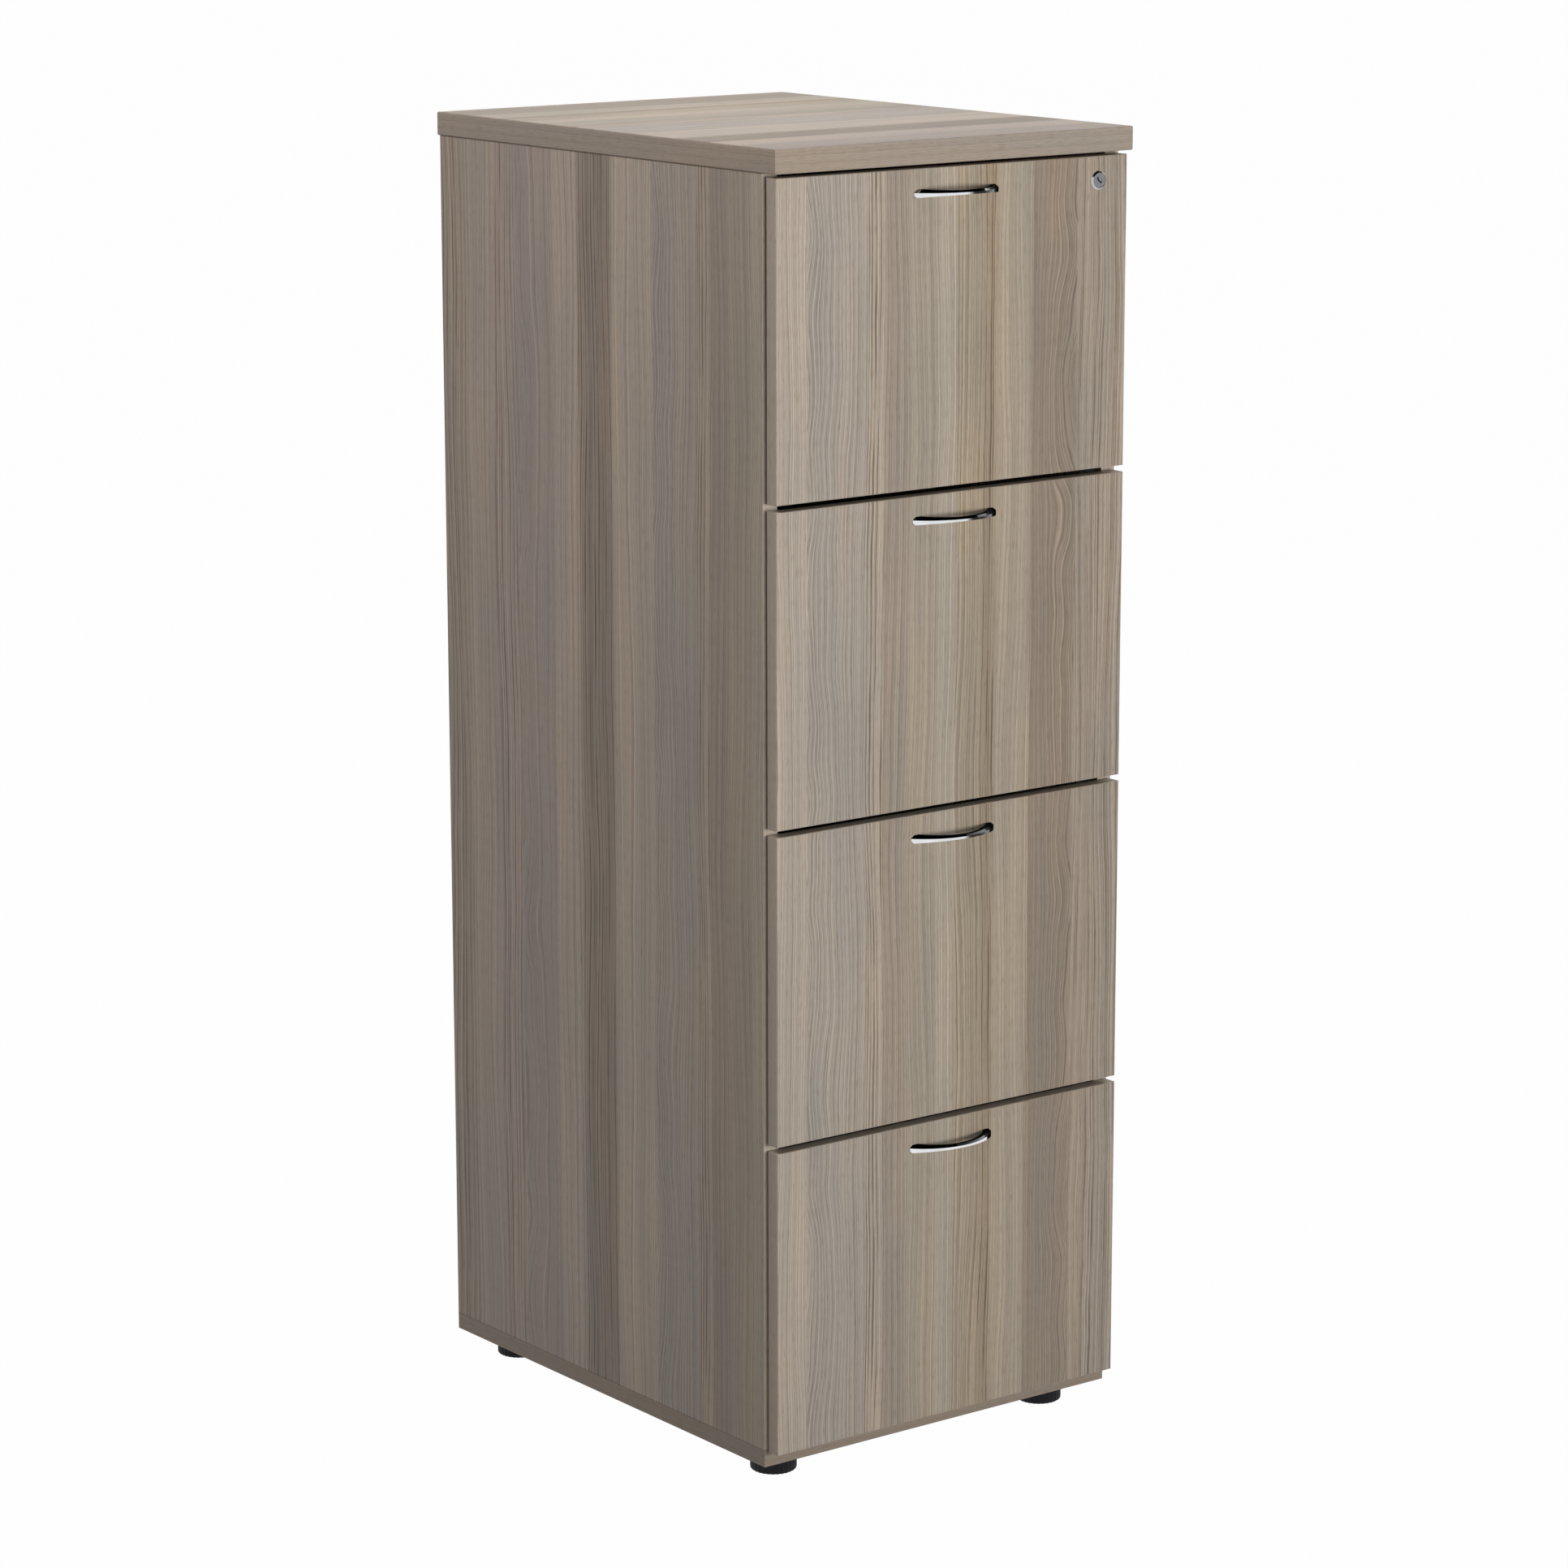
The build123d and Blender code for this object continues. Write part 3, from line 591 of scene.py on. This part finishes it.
def rings_mesh(name, rings):
    """A mesh through rings of points, one after the other, closed over the last one."""
    count = len(rings[0])
    points = [point for ring in rings for point in ring]
    faces = []
    for start in range(0, len(points) - count, count):
        for k in range(count):
            one, following = start + k, start + (k + 1) % count
            faces.append((one, following, following + count, one + count))
    faces.append(list(range(len(points) - count, len(points))))
    mesh = bpy.data.meshes.new(name)
    mesh.from_pydata(points, [], faces)
    return mesh


def add_piece(name, mesh, material, body):
    """Puts a mesh in the scene as a piece that rides on a body."""
    mesh.materials.append(material)
    piece = bpy.data.objects.new(name, mesh)
    bpy.context.scene.collection.objects.link(piece)
    piece.modifiers.new("smooth", "NODES").node_group = smooth
    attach(piece, body)


def screw_rings(x, y, z):
    """Rings of a socket head screw that faces +Y at a place in mm."""
    rings = []
    for row, (radius, rise) in enumerate(SCREW_HEAD):
        ring = []
        for k in range(SCREW_SIDES):
            reach = radius
            if row >= SCREW_SOCKET and k % 2:
                reach *= math.cos(2 * math.pi / SCREW_SIDES)
            turn = 2 * math.pi * k / SCREW_SIDES
            place = (x - reach * math.cos(turn), y + rise, z + reach * math.sin(turn))
            ring.append([value * MM for value in place])
        rings.append(ring)
    return rings


def lip_rings(node):
    """Rings of a low oval lip on a node's front, beside the middle."""
    low, high = box_mm(node)
    middle_x = (low[X] + high[X]) / 2 + LIP_PLACE[0]
    middle_z = (low[Z] + high[Z]) / 2 + LIP_PLACE[1]
    rings = []
    for row in range(LIP_RINGS):
        tilt = math.pi / 2 * row / LIP_RINGS
        ring = []
        for k in range(LIP_SIDES):
            turn = 2 * math.pi * k / LIP_SIDES
            long = LIP_SIZE[0] * math.cos(tilt) * math.cos(turn)
            wide = LIP_SIZE[1] * math.cos(tilt) * math.sin(turn)
            x = middle_x + long * math.cos(LIP_TURN) - wide * math.sin(LIP_TURN)
            y = low[Y] - LIP_RISE * math.sin(tilt)
            z = middle_z + long * math.sin(LIP_TURN) + wide * math.cos(LIP_TURN)
            ring.append((x * MM, y * MM, z * MM))
        rings.append(ring)
    return rings


# Screws from inside each tray into its front
inset_x, inset_z = SCREW_INSET
for number in DRAWERS:
    low, high = box_mm(f"drawer_{number}_tray")
    columns = (low[X] + inset_x, high[X] - inset_x)
    rows = (low[Z] + inset_z, high[Z] - inset_z)
    for count, (x, z) in enumerate([(x, z) for x in columns for z in rows], start=1):
        name = f"drawer_{number}_tray_screw_{count}"
        mesh = rings_mesh(name, screw_rings(x, low[Y] + TRAY_SHEET, z))
        add_piece(name, mesh, fixing_zinc, f"drawer_{number}")

# Bright lip beside the keyway
lip_mesh = rings_mesh("lock_keyway_lip", lip_rings("lock_rotor"))
add_piece("lock_keyway_lip", lip_mesh, chrome, "lock_plug")


def seen_ray(nodes, links):
    """1 for rays from the camera, and for those that reflections and glass show, else 0."""
    path = nodes.new("ShaderNodeLightPath")
    shown = path.outputs["Is Camera Ray"]
    for name in ("Is Glossy Ray", "Is Transmission Ray"):
        most = nodes.new("ShaderNodeMath")
        most.operation = "MAXIMUM"
        links.new(shown, most.inputs[0])
        links.new(path.outputs[name], most.inputs[1])
        shown = most.outputs[0]
    return shown


def make_floor():
    """A pale floor, white to the camera, that keeps the cabinet's soft shadow."""
    ring = [
        (FLOOR_RADIUS * math.cos(2 * math.pi * k / FLOOR_SIDES),
         FLOOR_RADIUS * math.sin(2 * math.pi * k / FLOOR_SIDES), 0.0)
        for k in range(FLOOR_SIDES)
    ]
    mesh = bpy.data.meshes.new("floor")
    mesh.from_pydata(ring, [], [list(range(FLOOR_SIDES))])
    floor = bpy.data.objects.new("floor", mesh)
    bpy.context.scene.collection.objects.link(floor)
    material = bpy.data.materials.new("pale_floor")
    material.use_nodes = True
    nodes, links = material.node_tree.nodes, material.node_tree.links
    shader = nodes["Principled BSDF"]
    shader.inputs["Base Color"].default_value = FLOOR_COLOUR + (1.0,)
    shader.inputs["Roughness"].default_value = FLOOR_ROUGHNESS
    shader.inputs["Specular IOR Level"].default_value = FLOOR_GLOSS
    white = nodes.new("ShaderNodeEmission")
    mix = nodes.new("ShaderNodeMixShader")
    share = nodes.new("ShaderNodeMath")
    share.operation = "MULTIPLY"
    share.inputs[1].default_value = FLOOR_WHITE
    links.new(seen_ray(nodes, links), share.inputs[0])
    links.new(share.outputs[0], mix.inputs[0])
    links.new(shader.outputs[0], mix.inputs[1])
    links.new(white.outputs[0], mix.inputs[2])
    links.new(mix.outputs[0], nodes["Material Output"].inputs["Surface"])
    mesh.materials.append(material)
    floor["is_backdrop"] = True


def make_sky():
    """White where it is seen, and an even dim light on the cabinet."""
    world = bpy.data.worlds.new("studio")
    bpy.context.scene.world = world
    world.use_nodes = True
    nodes, links = world.node_tree.nodes, world.node_tree.links
    shown = seen_ray(nodes, links)
    strength = nodes.new("ShaderNodeMix")
    strength.data_type = "FLOAT"
    links.new(shown, strength.inputs[0])
    strength.inputs[2].default_value = SKY_LIGHT
    strength.inputs[3].default_value = 1.0
    background = nodes["Background"]
    background.inputs["Color"].default_value = (1.0, 1.0, 1.0, 1.0)
    links.new(strength.outputs[0], background.inputs["Strength"])


def make_lamp(name, place, aim, size, power, tint=(1.0, 1.0, 1.0)):
    lamp = bpy.data.lights.new(name, "AREA")
    lamp.shape = "DISK"
    lamp.size = size
    lamp.energy = power
    lamp.color = tint
    made = bpy.data.objects.new(name, lamp)
    made.location = place
    made.rotation_euler = (Vector(aim) - Vector(place)).to_track_quat("-Z", "Y").to_euler()
    made.visible_glossy = False
    made.visible_camera = False
    bpy.context.scene.collection.objects.link(made)


def make_card(name, place, aim, size, stops):
    """A card that only reflections show: its glow, in stops from side to side, shades the chrome."""
    wide, tall = size
    corners = [(x * wide / 2, y * tall / 2, 0.0) for x, y in ((-1, -1), (1, -1), (1, 1), (-1, 1))]
    mesh = bpy.data.meshes.new(name)
    mesh.from_pydata(corners, [], [(0, 1, 2, 3)])
    card = bpy.data.objects.new(name, mesh)
    card.location = place
    card.rotation_euler = (Vector(aim) - Vector(place)).to_track_quat("-Z", "Y").to_euler()
    card.visible_camera = False
    card.visible_diffuse = False
    card.visible_shadow = False
    material = bpy.data.materials.new(name)
    material.use_nodes = True
    nodes, links = material.node_tree.nodes, material.node_tree.links
    light = nodes.new("ShaderNodeEmission")
    coordinates = nodes.new("ShaderNodeTexCoord")
    along = nodes.new("ShaderNodeSeparateXYZ")
    ramp = nodes.new("ShaderNodeValToRGB")
    ramp.color_ramp.interpolation = "EASE"
    while len(ramp.color_ramp.elements) < len(stops):
        ramp.color_ramp.elements.new(1.0)
    for element, (share, glow) in zip(ramp.color_ramp.elements, stops):
        element.position = share
        element.color = (glow, glow, glow, 1.0)
    links.new(coordinates.outputs["Generated"], along.inputs[0])
    links.new(along.outputs["X"], ramp.inputs[0])
    links.new(ramp.outputs[0], light.inputs["Color"])
    links.new(light.outputs[0], nodes["Material Output"].inputs["Surface"])
    mesh.materials.append(material)
    bpy.context.scene.collection.objects.link(card)
    card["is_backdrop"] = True


def make_camera():
    lens = bpy.data.cameras.new("camera")
    lens.lens = CAMERA_LENS
    lens.sensor_width = SENSOR
    camera = bpy.data.objects.new("camera", lens)
    camera.location = CAMERA_PLACE
    camera.rotation_euler = [math.radians(a) for a in (90 + CAMERA_PITCH, CAMERA_ROLL, -CAMERA_YAW)]
    bpy.context.scene.collection.objects.link(camera)
    bpy.context.scene.camera = camera


make_floor()
make_sky()
for name, settings in LAMPS.items():
    make_lamp(name, *settings)
for name, settings in CARDS.items():
    make_card(name, *settings)
make_camera()
bpy.context.scene.view_settings.view_transform = "Standard"

low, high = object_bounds()
